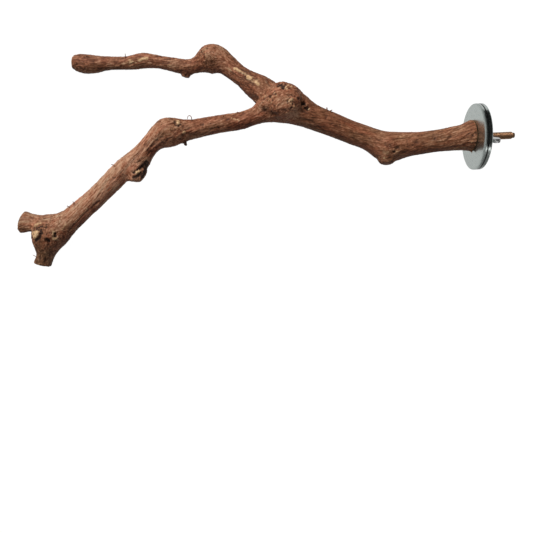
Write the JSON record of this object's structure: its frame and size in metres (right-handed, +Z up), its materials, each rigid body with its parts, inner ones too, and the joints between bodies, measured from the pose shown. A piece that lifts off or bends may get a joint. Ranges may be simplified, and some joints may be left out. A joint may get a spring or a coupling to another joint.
{
  "type": "bird perch",
  "caption": "Forked natural-wood bird perch, held on a cage wall by a threaded stud, wide washers and a wing nut.",
  "frame": {"origin": "centre of the clamp plane, where the two washers meet and the cage wall is gripped", "axes": "+X out of the wood along the stud, +Z up, fork spread in the XY plane"},
  "size_m": [0.3431, 0.1498, 0.0442],
  "materials": {
    "vine_wood": "bare fibrous vine wood, bark stripped, matte",
    "bronzed_steel": "bronze-brown threaded steel",
    "zinc_plate": "bright zinc plate, polished",
    "bright_casting": "bright plated casting"
  },
  "bodies": {
    "perch": {"branch": "vine_wood", "hanger_bolt": "bronzed_steel"},
    "inner_washer": {"inner_washer": "zinc_plate"},
    "outer_washer": {"outer_washer": "zinc_plate"},
    "wing_nut": {"wing_nut": "bright_casting"}
  },
  "joints": [
    {"name": "inner_washer_spin", "type": "hinge", "parent": "perch", "child": "inner_washer", "pos_m": [0, 0, 0], "axis": [1, 0, 0], "continuous": true},
    {"name": "outer_washer_slide", "type": "slide", "parent": "perch", "child": "outer_washer", "axis": [1, 0, 0], "range_m": [0, 0.0144]},
    {"name": "nut_spin", "type": "hinge", "parent": "outer_washer", "child": "wing_nut", "pos_m": [0, 0, 0], "axis": [1, 0, 0], "range_deg": [0, 6480]}
  ],
  "couplings": [
    {"joint": "nut_spin", "follows": "outer_washer_slide", "rad_per_m": 7854}
  ]
}
